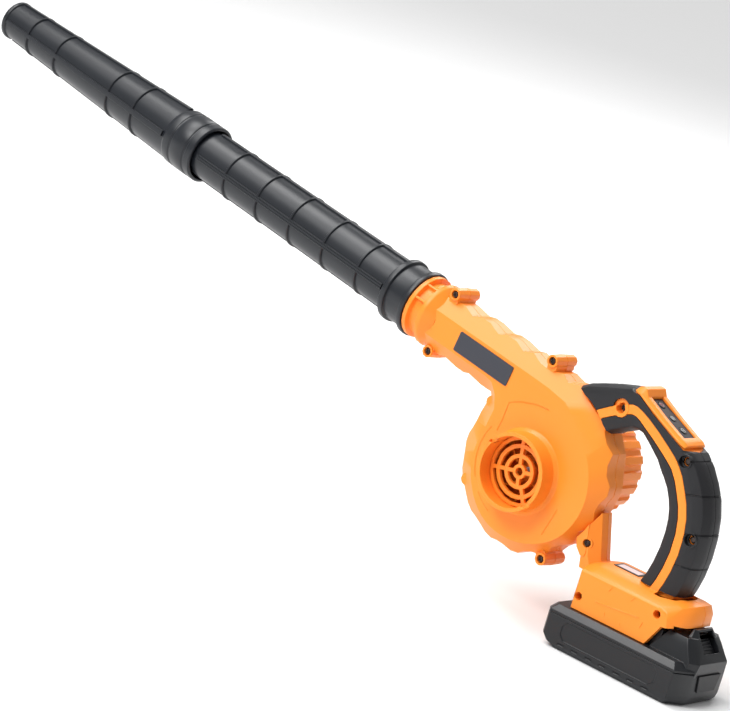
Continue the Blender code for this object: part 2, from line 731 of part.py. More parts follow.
def column_rings(side, grow):
    """Faceted post between the fan housing and the base, upwards."""
    g = grow
    rings = []
    for z, xf, xr in ((58.0, -60.0, -40.0), (69.0, -62.0, -46.5), (84.0, -70.0, -51.0),
                      (102.0, -82.0, -56.5)):
        rings.append([(xf - g, side * GAP / 2, z), (xf - g, side * (13.0 + g), z),
                      (xr - 9.0, side * (13.0 + g), z), (xr + g - 1.0, side * (6.4 + g), z),
                      (xr + g, side * GAP / 2, z)])
    return rings


def bracket(side):
    """Screw lug on the post."""
    p = HANDLE_SCREWS[5]
    outline = [(-74.0, 94.0), (-62.0, 94.0), (-57.6, 70.0), (-58.6, 67.0), (-62.0, 67.0), (-67.0, 72.0)]
    return slab("bracket", outline, (side * GAP / 2, side * 13.6)), p


def handle_half(name, side):
    """One half of the handle with its post and base."""
    shell = sweep(name, [shell_ring(s, side) for s in STATIONS], ORANGE)
    base = sweep("base", base_rings(side, 0.0))
    add(base, sweep("post", column_rings(side, 0.0)))
    add(base, bracket(side)[0])
    inner = sweep("inner", base_rings(side, -WALL))
    for v in inner.data.vertices:
        if abs(v.co.y) < 0.001:
            v.co.y = -side * 0.001
        if v.co.z < (BASE_Z + 0.5) * MM:
            v.co.z -= 0.006
    add(shell, base)
    cut(shell, inner)
    # screw posts inside
    for p, head in zip(HANDLE_SCREWS, HEAD_Y):
        reach = head + 1.4 if head < 12 else BASE_HALF - 1.0
        size = 4.6
        if side < 0 and p in HANDLE_SCREWS[1:3]:
            reach = DEPTH - 3.0
            size = WELL + 3.2
        if p is EYELET:
            reach = DEPTH + 0.7
            size = 7.0
        add(shell, turned("screw_post", p, (0, side, 0), [(size, GAP / 2), (size, reach)], 14))
    # rails that carry the battery
    add(shell, block("rail", (-44.0, 17.0), (side * 20.4, side * 27.6), (36.5, 39.3)))
    # opening behind for the battery's tower
    cut(shell, block("tail_gap", (18.0, 80.0), (side * -1.0, side * 24.6), (BASE_Z - 9, 53.0)))
    tools = []
    for p, head in zip(HANDLE_SCREWS, HEAD_Y):
        if side < 0:
            wide = 4.2 if p is EYELET else 3.3
            tools.append(screw_hole(p, side, 1.5, wide, head - 0.3, BASE_HALF + 9, -1))
        else:
            tools.append(screw_hole(p, side, 1.5, 1.6, 8.0, 8.2, -1))
    cut(shell, *tools)
    if side < 0:
        wells = [turned("well", p, (0, side, 0), [(WELL + 1.5, head + 1.0), (WELL + 1.5, 30.0)], 14)
                 for p, head in zip(HANDLE_SCREWS[1:3], HEAD_Y[1:3])]
        cut(shell, *wells)
    cut(shell, volute_clearance())
    cut(shell, sweep("rubber_room", [outer_grip_ring(s, side, 0.2) for s in STATIONS]))
    return shell


PANEL_MID = Vector((-29.0, 0.0, 188.4))
PANEL_RUN = Vector((0.9026, 0.0, -0.4305))
PANEL_UP = Vector((0.4305, 0.0, 0.9026))


def panel_block(name, run, half, low, high, mat=None, shift=0.0):
    """A box lying in the control panel's plane."""
    rings = []
    for h in (low, high):
        c = PANEL_MID + PANEL_UP * h + PANEL_RUN * shift
        rings.append([c + PANEL_RUN * a + Vector((0, b, 0)) for a, b in
                      ((-run, -half), (run, -half), (run, half), (-run, half))])
    return sweep(name, rings, mat)


BEZEL = ((-56.6, 201.7, 2.4, 13.6), (-54.0, 201.0, 4.6, 14.6), (-50.6, 199.8, 5.0, 14.8),
         (-46.4, 197.4, 1.8, 14.8), (-29.0, 188.5, 1.4, 14.8), (-10.4, 179.6, 1.4, 14.8),
         (-6.0, 177.7, 1.8, 14.6), (-2.6, 176.1, 1.2, 13.4))


def bezel_block(name, grow, mat=None):
    """The raised frame round the control panel, or with grow the space it needs."""
    rings = []
    for x, z, top, half in BEZEL:
        base = Vector((x, 0, z))
        low = -SKIN - grow
        wide = half + 0.6 + grow
        section = ((low, -wide), (-0.4, -wide), (top + 9 * grow, -half + 2.0),
                   (top + 9 * grow, half - 2.0), (-0.4, wide), (low, wide))
        rings.append([base + PANEL_UP * h + Vector((0, y, 0)) for h, y in section])
    return sweep(name, rings, mat)


for name, side in (("handle_left", -1), ("handle_right", 1)):
    half = handle_half(name, side)
    cut(half, bezel_block("bezel_room", 0.2))
    cut(half, panel_block("seat", 20.6, 8.2, -2.0, 9.0, None, 0.6))
    cut(half, panel_block("window", 17.5, 4.8, -6.0, 0.0))
    tidy(half)

for tag, side in (("left", -1), ("right", 1)):
    rings = [outer_grip_ring(s, side) for s in STATIONS]
    grip = sweep("outer_grip_" + tag, rings, GRIP)
    cut(grip, volute_clearance())
    cut(grip, turned("hole", EYELET, (0, side, 0), [(7.3, 2.0), (7.3, 30.0)], 14))
    if side < 0:
        for p, head in zip(HANDLE_SCREWS[1:3], HEAD_Y[1:3]):
            rim = DEPTH - 0.2
            add(grip, turned("well", p, (0, side, 0), [(WELL + 1.2, head + 1.3), (WELL + 1.2, rim)], 14))
            cut(grip, turned("hole", p, (0, side, 0), [(3.4, 2.0), (3.4, head + 3.0), (WELL, head + 3.1),
                                                       (WELL, 30.0)], 14))
    cut(grip, block("foot", (-20.0, 60.0), (side * -2.0, side * 30.0), (50.0, BASE_TOP + 0.4)))
    tidy(grip)
    strip = sweep("inner_grip_" + tag, [inner_grip_ring(s, side) for s in STATIONS], GRIP)
    cut(strip, volute_clearance())
    cut(strip, turned("hole", EYELET, (0, side, 0), [(7.3, 2.0), (7.3, 30.0)], 14))
    cut(strip, block("foot", (-20.0, 60.0), (side * -2.0, side * 30.0), (50.0, BASE_TOP + 0.4)))
    tidy(strip)

for i, (p, head) in enumerate(zip(HANDLE_SCREWS, HEAD_Y)):
    screw("handle_screw_%d" % (i + 1), p, -1, head, head + 6.5, i in (0, 5))


# ---------------------------------------------------------------- control panel

bezel = bezel_block("panel_bezel", 0.0, ORANGE)
cut(bezel, panel_block("window", 20.4, 8.1, -9.0, 9.0, None, 0.6))
tidy(bezel)
keypad = panel_block("control_panel", 20.1, 7.8, -1.7, 0.4, PANEL, 0.6)
BUTTONS = (("power_button", -13.0), ("speed_up_button", 0.5), ("speed_down_button", 13.0))
tools = []
for name, run in BUTTONS:
    c = PANEL_MID + PANEL_RUN * run
    tools.append(turned("hole", c, PANEL_UP, [(3.5, -4.0), (3.5, 4.0)], 16))
cut(keypad, *tools)
tidy(keypad)
for name, run in BUTTONS:
    c = PANEL_MID + PANEL_RUN * run
    levels = [(1.6, -5.6), (1.6, -2.2), (3.2, -2.1), (3.2, 0.5), (2.6, 0.9)]
    hinge_at(tidy(turned(name, c, PANEL_UP, levels, 16, BLACK)), c, PANEL_UP)
tidy(panel_block("control_board", 17.0, 8.6, -8.4, -6.8, BOARD))

# blank sticker on top of the base
tidy(block("base_sticker", (-35.4, -12.0), (-6.4, 6.4), (BASE_TOP + 0.1, BASE_TOP + 0.6), PALE))

# ---------------------------------------------------------------- battery dock

dock = block("terminal_block", (-42.0, -31.0), (-19.0, 19.0), (48.6, 55.0), BLACK)
cut(dock, *[block("seat", (-50, -28.0), (y - 1.3, y + 1.3), (47.0, 51.6)) for y in (-12, 0, 12)])
tidy(dock)
for i, y in enumerate((-12, 0, 12)):
    xs = (-38.5, -22.0)
    blade = block("contact_blade_%d" % (i + 1), xs, (y - 0.5, y + 0.5), (40.6, 51.2), COPPER)
    cut(blade, block("step", (-30.6, 0), (y - 2, y + 2), (47.6, 60.0)))
    tidy(blade)

# ---------------------------------------------------------------- battery

def pack_plan(z):
    """Battery plan outline at a height, square front and chamfered back corners."""
    w = PACK_HALF
    return [(-61.6, -w + 4.0, z), (-58.4, -w, z), (56.4, -w, z), (64.6, -21.0, z),
            (64.6, 21.0, z), (56.4, w, z), (-58.4, w, z), (-61.6, w - 4.0, z)]


def shrink(plan, front, sides, back):
    """Pull a plan outline in at the front, sides and back."""
    out = []
    for x, y, z in plan:
        nx = x + front if x < 0 else x - back
        ny = y - math.copysign(sides, y)
        out.append((nx, ny, z))
    return out


case = sweep("battery_case", [shrink(pack_plan(0.0), 11.0, 2.4, 3.6),
                              shrink(pack_plan(3.6), 4.0, 0.4, 1.0), pack_plan(8.0),
                              pack_plan(SEAM_Z)], BLACK)
inside = sweep("inside", [shrink(pack_plan(2.6), 9.0, 4.6, 6.0),
                          shrink(pack_plan(6.0), 3.6, 2.4, 3.4),
                          shrink(pack_plan(SEAM_Z + 1), 2.4, 2.4, 2.4)])
cut(case, inside)
panels = []
for side in (-1, 1):
    outline = [(-40.0, 8.0), (38.0, 8.0), (43.0, 12.0), (43.0, 20.0), (40.0, 23.0), (-40.0, 23.0),
               (-44.0, 19.0), (-44.0, 12.0)]
    panels.append(slab("panel", outline, (side * (PACK_HALF - 0.9), side * (PACK_HALF + 3))))
cut(case, *panels)
tidy(case)

deck = sweep("battery_cover", [pack_plan(SEAM_Z + GAP), pack_plan(27.4),
                               shrink(pack_plan(DECK_Z), 3.2, 4.6, 4.0)], BLACK)
# tower at the back that carries the latch
tower_rings = []
for z, x0, x1, x2, wide, narrow in (
        (26.0, 24.0, 60.0, 64.6, 27.0, 20.5), (33.4, 25.0, 60.0, 65.6, 26.0, 19.0),
        (43.0, 31.0, 54.0, 59.4, 23.5, 16.0), (48.6, 34.0, 50.6, 54.4, 21.0, 13.4)):
    tower_rings.append([(x0, -wide, z), (x1, -wide, z), (x2, -narrow, z), (x2, narrow, z),
                        (x1, wide, z), (x0, wide, z)])
add(deck, sweep("tower", tower_rings))
cap = []
for z, x0, x1, x2, wide, narrow in ((47.4, 47.9, 51.4, 55.0, 18.0, 13.0),
                                    (54.0, 47.9, 49.0, 50.6, 12.0, 9.6)):
    cap.append([(x0, -wide, z), (x1, -wide, z), (x2, -narrow, z), (x2, narrow, z),
                (x1, wide, z), (x0, wide, z)])
add(deck, sweep("tower_top", cap))
# rail block under the handle
add(deck, block("rail_block", (-38.3, 30.0), (-22.6, 22.6), (30.0, 46.4)))
grooves = [block("groove", (-60.0, 21.6), (side * 19.8, side * 26.0), (36.0, 39.8))
           for side in (-1, 1)]
cut(deck, *grooves)
# hollow the deck and tower from below, leaving the walls
cut(deck, block("hollow", (-40.0, 20.0), (-17.4, 17.4), (20.0, 43.6)))
cut(deck, block("hollow_back", (33.6, 50.0), (-14.0, 14.0), (20.0, 44.0)))
cut(deck, *[block("blade_slot", (-50.0, -20.0), (y - 1.4, y + 1.4), (39.0, 50.0)) for y in (-12, 0, 12)])
# latch window on the sloping back of the tower
LATCH_MID = Vector((54.6, 0.0, 44.4))
SLOPE_RUN = Vector((0.66, 0.0, -0.7513))
SLOPE_UP = Vector((0.7513, 0.0, 0.66))


def latch_block(name, run, half, low, high, mat=None, taper=0.0):
    """A box lying on the tower's sloping back."""
    rings = []
    for h in (low, high):
        c = LATCH_MID + SLOPE_UP * h
        rings.append([c + SLOPE_RUN * a + Vector((0, b, 0)) for a, b in
                      ((-run, -half + taper), (run, -half), (run, half), (-run, half - taper))])
    return sweep(name, rings, mat)


cut(deck, latch_block("window", 8.4, 10.6, -9.0, 9.0, None, 1.6))
tidy(deck)
latch = latch_block("battery_latch", 7.6, 9.8, -6.6, -1.4, BLACK, 1.6)
ribs = []
for i in range(4):
    c = LATCH_MID + SLOPE_RUN * (-4.2 + 2.8 * i)
    ring = []
    for h, w in ((-1.8, 1.0), (-0.4, 0.5)):
        d = c + SLOPE_UP * h
        ring.append([d - SLOPE_RUN * w - Vector((0, 6.4, 0)), d + SLOPE_RUN * w - Vector((0, 6.4, 0)),
                     d + SLOPE_RUN * w + Vector((0, 6.4, 0)), d - SLOPE_RUN * w + Vector((0, 6.4, 0))])
    ribs.append(sweep("rib", ring))
add(latch, merged(ribs))
hinge_at(tidy(latch), LATCH_MID, SLOPE_UP)

pad = [(11.0, -12.0), (11.0, 12.0), (24.0, 15.0), (24.0, -15.0)]
rings = [[(x, y, z) for z, y in pad] for x in (64.8, 66.0)]
tidy(sweep("battery_pad", rings, GRIP))

for i in range(5):
    x = CELL_PITCH * (i - 2) + 1.0
    levels = [(CELL_R, -CELL_LEN / 2), (CELL_R, CELL_LEN / 2 - 1.5), (4.0, CELL_LEN / 2 - 1.4),
              (4.0, CELL_LEN / 2)]
    tidy(turned("cell_%d" % (i + 1), (x, 0, 13.2), (0, 1, 0), levels, 14, CELL))
tidy(block("battery_board", (-38.0, 18.0), (-16.4, 16.4), (26.4, 28.0), BOARD))

# spring behind the latch
coils = 4
steps = 8
rings = []
for i in range(coils * steps + 1):
    a = 2 * math.pi * i / steps
    h = -7.0 - 7.0 * i / (coils * steps)
    _, e1, e2 = axes_for(SLOPE_UP)
    spoke = e1 * math.cos(a) + e2 * math.sin(a)
    c = LATCH_MID + SLOPE_UP * h + spoke * 2.6
    rings.append([c + spoke * 0.4 * math.cos(q) + SLOPE_UP * 0.4 * math.sin(q)
                  for q in (0.0, 1.5708, 3.1416, 4.7124)])
tidy(sweep("latch_spring", rings, STEEL))

# ---------------------------------------------------------------- blow tube and nozzle

RIB = 1.5
FINS = (0.0, 90.0, 180.0, 270.0)


def finned(name, start, length, radius_at, rings_h, head, tail, bore_at, mat, fin_span):
    """A tapering pipe with ring ribs and four long fins."""
    plain = list(head)
    raised = list(head)
    plain_tail = list(tail)

    def ribs_between():
        flat = []
        tall = []
        for h in rings_h:
            for dh, up in ((-1.4, 0.0), (-0.7, RIB), (0.7, RIB), (1.4, 0.0)):
                flat.append((radius_at(h + dh) + up, h + dh))
                tall.append((radius_at(h + dh) + RIB, h + dh))
        return flat, tall

    flat, tall = ribs_between()
    first = (radius_at(fin_span[0]), fin_span[0])
    last = (radius_at(fin_span[1]), fin_span[1])
    plain += [first, (first[0], first[1] + 0.6)] + flat + [(last[0], last[1] - 0.6), last]
    raised += [first, (first[0] + RIB, first[1] + 0.6)] + tall
    raised += [(last[0] + RIB, last[1] - 0.6), last]
    inner = [(bore_at(length), length), (bore_at(0.0), 0.0)]
    plain += plain_tail + inner
    raised += plain_tail + inner
    origin = TUBE_ORIGIN + AXIS * start
    d, e1, e2 = axes_for(AXIS)
    sections = []
    for q in range(4):
        base = FINS[q]
        for da, up in ((-6.2, False), (-5.4, True), (5.4, True), (6.2, False), (25.0, False),
                       (45.0, False), (65.0, False)):
            a = math.radians(base + da)
            spoke = e1 * math.cos(a) + e2 * math.sin(a)
            shape = raised if up else plain
            sections.append([origin + d * h + spoke * r for r, h in shape])
    return sweep(name, sections, mat, True)


def tube_radius(h):
    """Outside of the blow tube."""
    return 21.9 - 1.7 * h / TUBE_LEN


def nozzle_radius(h):
    """Outside of the nozzle's cone."""
    return 23.2 - 7.4 * (h - 36.0) / (NOZZLE_LEN - 36.0)


head = [(27.7, 0.0), (27.7, 4.6), (25.0, 5.4), (24.8, 21.0), (26.9, 22.0), (26.9, 26.4), (23.0, 28.0)]
tube = finned("blow_tube", TUBE_START, TUBE_LEN, tube_radius,
              [58.8 + 39.8 * i for i in range(5)], head, [(tube_radius(TUBE_LEN), TUBE_LEN)],
              lambda h: 21.8 - 2.6 * h / TUBE_LEN if h > 18 else 21.8, BLACK, (30.0, 252.0))
hinge_at(tidy(tube), TUBE_ORIGIN + AXIS * TUBE_START, AXIS)

head = [(24.6, 0.0), (25.2, 1.0), (25.2, 7.0), (24.4, 7.6), (24.4, 9.0), (25.2, 9.6), (25.2, 24.6),
        (24.4, 25.2), (24.4, 26.6), (25.0, 27.2), (24.8, 34.6), (23.4, 36.0)]
tail = [(15.9, NOZZLE_LEN - 4.4), (17.4, NOZZLE_LEN - 3.6), (17.4, NOZZLE_LEN)]
nozzle = finned("nozzle", NOZZLE_START, NOZZLE_LEN, nozzle_radius, [80.0, 113.0, 186.6, 225.0],
                head, tail, lambda h: 14.2 if h > 100 else 21.6, BLACK, (38.0, NOZZLE_LEN - 5.0))
socket = turned("socket", TUBE_ORIGIN + AXIS * NOZZLE_START, AXIS, [(22.4, -5.0), (22.2, 27.0)], 32)
cut(nozzle, socket)
hinge_at(tidy(nozzle), TUBE_ORIGIN + AXIS * NOZZLE_START, AXIS)
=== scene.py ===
"""Looks for the cordless leaf blower: materials, fine detail, light and camera."""
import json
import math

import bmesh
import bpy
from mathutils import Matrix, Vector
from mathutils.bvhtree import BVHTree


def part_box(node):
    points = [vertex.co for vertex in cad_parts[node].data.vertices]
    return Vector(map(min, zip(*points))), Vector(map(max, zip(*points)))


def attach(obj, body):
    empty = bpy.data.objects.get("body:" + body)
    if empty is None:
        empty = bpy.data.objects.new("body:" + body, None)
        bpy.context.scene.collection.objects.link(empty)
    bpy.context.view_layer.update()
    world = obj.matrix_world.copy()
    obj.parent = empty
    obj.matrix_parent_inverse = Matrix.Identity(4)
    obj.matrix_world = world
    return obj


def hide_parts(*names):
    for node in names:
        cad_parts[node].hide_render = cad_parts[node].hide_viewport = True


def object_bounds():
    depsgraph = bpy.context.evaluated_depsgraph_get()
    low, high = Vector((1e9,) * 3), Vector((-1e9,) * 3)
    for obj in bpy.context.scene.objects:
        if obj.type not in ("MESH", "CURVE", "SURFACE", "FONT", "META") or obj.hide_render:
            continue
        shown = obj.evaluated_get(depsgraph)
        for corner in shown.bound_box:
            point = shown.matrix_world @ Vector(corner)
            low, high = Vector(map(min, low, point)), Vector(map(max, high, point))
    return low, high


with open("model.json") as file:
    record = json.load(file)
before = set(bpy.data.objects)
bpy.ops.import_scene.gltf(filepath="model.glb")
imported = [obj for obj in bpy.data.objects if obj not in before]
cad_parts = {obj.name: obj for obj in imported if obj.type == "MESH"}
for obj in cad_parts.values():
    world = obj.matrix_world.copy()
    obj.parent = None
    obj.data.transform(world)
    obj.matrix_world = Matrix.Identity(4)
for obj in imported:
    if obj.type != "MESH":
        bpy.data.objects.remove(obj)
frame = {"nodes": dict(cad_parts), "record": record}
cad_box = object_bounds()
nodes = frame["nodes"]

MM = 0.001
WIRE_ROUNDS = 2
SIDEWAYS = Vector((0.0, 1.0, 0.0))

# ---------------------------------------------------------------- camera

CAMERA_AT = Vector((1.0343, -1.8368, 0.6248))
CAMERA_RIGHT = Vector((0.7405, 0.6157, 0.2695)).normalized()
CAMERA_UP = Vector((-0.3420, 0.0, 0.9397)).normalized()
CAMERA_BACK = CAMERA_RIGHT.cross(CAMERA_UP).normalized()
LENS_MM = 144.3
SENSOR_MM = 36.0

data = bpy.data.cameras.new("camera")
data.lens = LENS_MM
data.sensor_width = SENSOR_MM
data.clip_end = 50.0
camera = bpy.data.objects.new("camera", data)
turn = Matrix((CAMERA_RIGHT, CAMERA_UP, CAMERA_BACK))
camera.matrix_world = Matrix.Translation(CAMERA_AT) @ turn.transposed().to_4x4()
bpy.context.collection.objects.link(camera)
bpy.context.scene.camera = camera
bpy.context.scene.view_settings.view_transform = "Standard"


# ---------------------------------------------------------------- materials

def link(tree, a, out, b, into):
    """Join two node sockets."""
    tree.links.new(a.outputs[out], b.inputs[into])


def moulded(name, colour, roughness, spread=0.06, mottle=0.05, grain=900.0, depth=0.02,
            metallic=0.0, specular=0.5, coat=0.0, scuff=0.0):
    """Plastic, rubber or metal with grain, uneven gloss, a faint mottle and rubbed high spots."""
    mat = bpy.data.materials.new(name)
    mat.use_nodes = True
    tree = mat.node_tree
    shader = tree.nodes["Principled BSDF"]
    shader.inputs["Metallic"].default_value = metallic
    shader.inputs["Specular IOR Level"].default_value = specular
    shader.inputs["Coat Weight"].default_value = coat
    where = tree.nodes.new("ShaderNodeTexCoord")
    broad = tree.nodes.new("ShaderNodeTexNoise")
    broad.inputs["Scale"].default_value = 22.0
    broad.inputs["Detail"].default_value = 4.0
    link(tree, where, "Object", broad, "Vector")
    tint = tree.nodes.new("ShaderNodeMix")
    tint.data_type = "RGBA"
    dark = [c * (1.0 - mottle) for c in colour]
    light = [min(1.0, c * (1.0 + mottle)) for c in colour]
    tint.inputs[6].default_value = (*dark, 1.0)
    tint.inputs[7].default_value = (*light, 1.0)
    link(tree, broad, "Fac", tint, 0)
    last = tint
    if scuff > 0.0:
        rub = tree.nodes.new("ShaderNodeTexNoise")
        rub.inputs["Scale"].default_value = 160.0
        rub.inputs["Detail"].default_value = 8.0
        rub.inputs["Roughness"].default_value = 0.75
        link(tree, where, "Object", rub, "Vector")
        gate = tree.nodes.new("ShaderNodeMapRange")
        gate.inputs["From Min"].default_value = 0.60
        gate.inputs["From Max"].default_value = 0.82
        gate.inputs["To Max"].default_value = scuff
        link(tree, rub, "Fac", gate, "Value")
        worn = tree.nodes.new("ShaderNodeMix")
        worn.data_type = "RGBA"
        worn.inputs[7].default_value = (*[min(1.0, c * 0.7 + 0.16) for c in colour], 1.0)
        tree.links.new(tint.outputs[2], worn.inputs[6])
        link(tree, gate, "Result", worn, 0)
        last = worn
    tree.links.new(last.outputs[2], shader.inputs["Base Color"])
    gloss = tree.nodes.new("ShaderNodeMapRange")
    gloss.inputs["To Min"].default_value = roughness - spread
    gloss.inputs["To Max"].default_value = roughness + spread
    link(tree, broad, "Fac", gloss, "Value")
    link(tree, gloss, "Result", shader, "Roughness")
    fine = tree.nodes.new("ShaderNodeTexNoise")
    fine.inputs["Scale"].default_value = grain
    fine.inputs["Detail"].default_value = 3.0
    link(tree, where, "Object", fine, "Vector")
    bump = tree.nodes.new("ShaderNodeBump")
    bump.inputs["Strength"].default_value = 0.35
    bump.inputs["Distance"].default_value = depth * MM
    link(tree, fine, "Fac", bump, "Height")
    link(tree, bump, "Normal", shader, "Normal")
    return mat


ORANGE = moulded("orange_moulding", (0.96, 0.270, 0.024), 0.36, spread=0.05, mottle=0.03,
                 grain=1400.0, depth=0.012, specular=0.35)
SLATE = moulded("slate_pipe", (0.010, 0.012, 0.016), 0.36, mottle=0.12, grain=1200.0, depth=0.02,
                specular=0.42, scuff=0.04)
BLACK = moulded("black_moulding", (0.008, 0.009, 0.011), 0.34, mottle=0.12, grain=1300.0, depth=0.02,
                specular=0.42, scuff=0.03)
RUBBER = moulded("grip_rubber", (0.010, 0.010, 0.012), 0.46, mottle=0.15, grain=1900.0, depth=0.04,
                 specular=0.40)
FILM = moulded("panel_film", (0.022, 0.016, 0.018), 0.5, spread=0.03, grain=2600.0, depth=0.004, specular=0.25)
LABEL = moulded("label_film", (0.030, 0.032, 0.044), 0.42, spread=0.03, grain=2600.0, depth=0.006)
STICKER = moulded("pale_sticker", (0.78, 0.56, 0.55), 0.45, spread=0.03, grain=2600.0, depth=0.004)
STEEL = moulded("bright_steel", (0.60, 0.60, 0.61), 0.28, metallic=1.0, grain=700.0, depth=0.01)
SCREW = moulded("dark_screw", (0.070, 0.055, 0.050), 0.30, metallic=1.0, grain=1500.0, depth=0.01)
BRASS = moulded("brass", (0.80, 0.58, 0.24), 0.28, metallic=1.0, grain=900.0, depth=0.01)
BOARD = moulded("circuit_board", (0.020, 0.150, 0.055), 0.40, grain=500.0, depth=0.02)
WRAP = moulded("cell_wrap", (0.03, 0.16, 0.34), 0.35, grain=1200.0, depth=0.01)

LOOKS = {
    "orange_plastic": ORANGE, "black_plastic": BLACK, "grip_rubber": RUBBER, "panel_film": FILM,
    "steel": STEEL, "dark_screw": SCREW, "brass_contact": BRASS, "circuit_board": BOARD,
    "cell_wrap": WRAP, "label_plate": LABEL, "pale_sticker": STICKER,
}


def repaint(obj, mat):
    """Give an object one material."""
    obj.data.materials.clear()
    obj.data.materials.append(mat)


slot_of = {part["node"]: part["material_slot"] for part in frame["record"]["subparts"]}
looks_of = {name: LOOKS[slot] for name, slot in slot_of.items()}
looks_of["blow_tube"] = looks_of["nozzle"] = SLATE
body_of = {name: body for body, names in frame["record"]["behaviour"]["bodies"].items() for name in names}
for name, mat in looks_of.items():
    repaint(nodes[name], mat)


# ---------------------------------------------------------------- mesh helpers

def as_object(name, bm, mat=None):
    """Object from a bmesh, which is freed."""
    mesh = bpy.data.meshes.new(name)
    bm.to_mesh(mesh)
    bm.free()
    obj = bpy.data.objects.new(name, mesh)
    bpy.context.collection.objects.link(obj)
    if mat:
        repaint(obj, mat)
    return obj


def baked(obj):
    """Apply an object's modifiers to its mesh."""
    graph = bpy.context.evaluated_depsgraph_get()
    mesh = bpy.data.meshes.new_from_object(obj.evaluated_get(graph))
    obj.modifiers.clear()
    obj.data = mesh
    return obj


def soften(obj, width, bend=32.0, rounds=2):
    """Round an object's sharp edges and shade it with weighted normals."""
    if width > 0.0:
        mod = obj.modifiers.new("edges", "BEVEL")
        mod.width = width * MM
        mod.segments = rounds
        mod.limit_method = "ANGLE"
        mod.angle_limit = math.radians(bend)
        mod.use_clamp_overlap = False
        mod.harden_normals = False
        baked(obj)
    obj.data.shade_smooth()
    obj.data.set_sharp_from_angle(angle=math.radians(bend + 12.0))
    mod = obj.modifiers.new("normals", "WEIGHTED_NORMAL")
    mod.keep_sharp = True
    mod.weight = 60
    return obj


def wire(name, points, radius, closed=False, mat=None):
    """Round tube along a path, in millimetres."""
    curve = bpy.data.curves.new(name, "CURVE")
    curve.dimensions = "3D"
    curve.bevel_depth = radius * MM
    curve.bevel_resolution = WIRE_ROUNDS
    curve.use_fill_caps = True
    line = curve.splines.new("POLY")
    line.points.add(len(points) - 1)
    for point, where in zip(line.points, points):
        point.co = (*(Vector(where) * MM), 1.0)
    line.use_cyclic_u = closed
    holder = bpy.data.objects.new(name, curve)
    bpy.context.collection.objects.link(holder)
    graph = bpy.context.evaluated_depsgraph_get()
    mesh = bpy.data.meshes.new_from_object(holder.evaluated_get(graph))
    bpy.data.objects.remove(holder, do_unlink=True)
    obj = bpy.data.objects.new(name, mesh)
    bpy.context.collection.objects.link(obj)
    if mat:
        repaint(obj, mat)
    return obj


def carve(obj, tool):
    """Exact Boolean cut that uses the tool up."""
    mod = obj.modifiers.new("carve", "BOOLEAN")
    mod.operation = "DIFFERENCE"
    mod.solver = "EXACT"
    mod.object = tool
    baked(obj)
    bpy.data.objects.remove(tool, do_unlink=True)
    return obj


def welded(node, bend=0.6):
    """A fresh joined-up copy of a CAD node's mesh."""
    bm = bmesh.new()
    bm.from_mesh(nodes[node].data)
    bmesh.ops.remove_doubles(bm, verts=bm.verts, dist=2e-6)
    bmesh.ops.dissolve_limit(bm, angle_limit=math.radians(bend), verts=bm.verts, edges=bm.edges)
    obj = as_object(node + "_fine", bm, looks_of[node])
    return obj


def stand_for(obj, node, mat=None):
    """A piece takes the place, body and finish of a CAD node."""
    repaint(obj, mat or looks_of[node])
    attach(obj, body_of[node])
    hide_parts(node)
    return obj


def extra(obj, body):
    """A small piece that comes on top of the CAD nodes."""
    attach(obj, body)
    return obj


def onto(obj, x, z):
    """Point of an object's -Y side at an X and Z, in millimetres."""
    bm = bmesh.new()
    bm.from_mesh(obj.data)
    hit = BVHTree.FromBMesh(bm).ray_cast(Vector((x, -60.0, z)) * MM, SIDEWAYS)[0]
    bm.free()
    return hit / MM


def section(obj, at, normal):
    """Closed outlines where a plane cuts a mesh, in millimetres."""
    bm = bmesh.new()
    bm.from_mesh(obj.data)
    geom = bm.verts[:] + bm.edges[:] + bm.faces[:]
    bmesh.ops.bisect_plane(bm, geom=geom, plane_co=Vector(at) * MM, plane_no=Vector(normal),
                           clear_inner=True, clear_outer=True)
    loops = []
    left = set(bm.verts)
    while left:
        start = left.pop()
        chain = [start]
        while True:
            steps = [e.other_vert(chain[-1]) for e in chain[-1].link_edges]
            fresh = [v for v in steps if v in left]
            if not fresh:
                break
            left.discard(fresh[0])
            chain.append(fresh[0])
        loops.append([v.co / MM for v in chain])
    bm.free()
    return [loop for loop in loops if len(loop) > 3]


# ---------------------------------------------------------------- blow tube and nozzle

TILT = math.radians(9.7)
AXIS = Vector((-math.cos(TILT), 0.0, math.sin(TILT)))
TUBE_LINE = Vector((-118.33, 0.0, 164.98))
TUBE_START, TUBE_LEN = 155.5, 282.0
NOZZLE_START, NOZZLE_LEN = 411.5, 259.5
RIB = 1.5
FIN_HALF = 5.4
ARC = 5.0


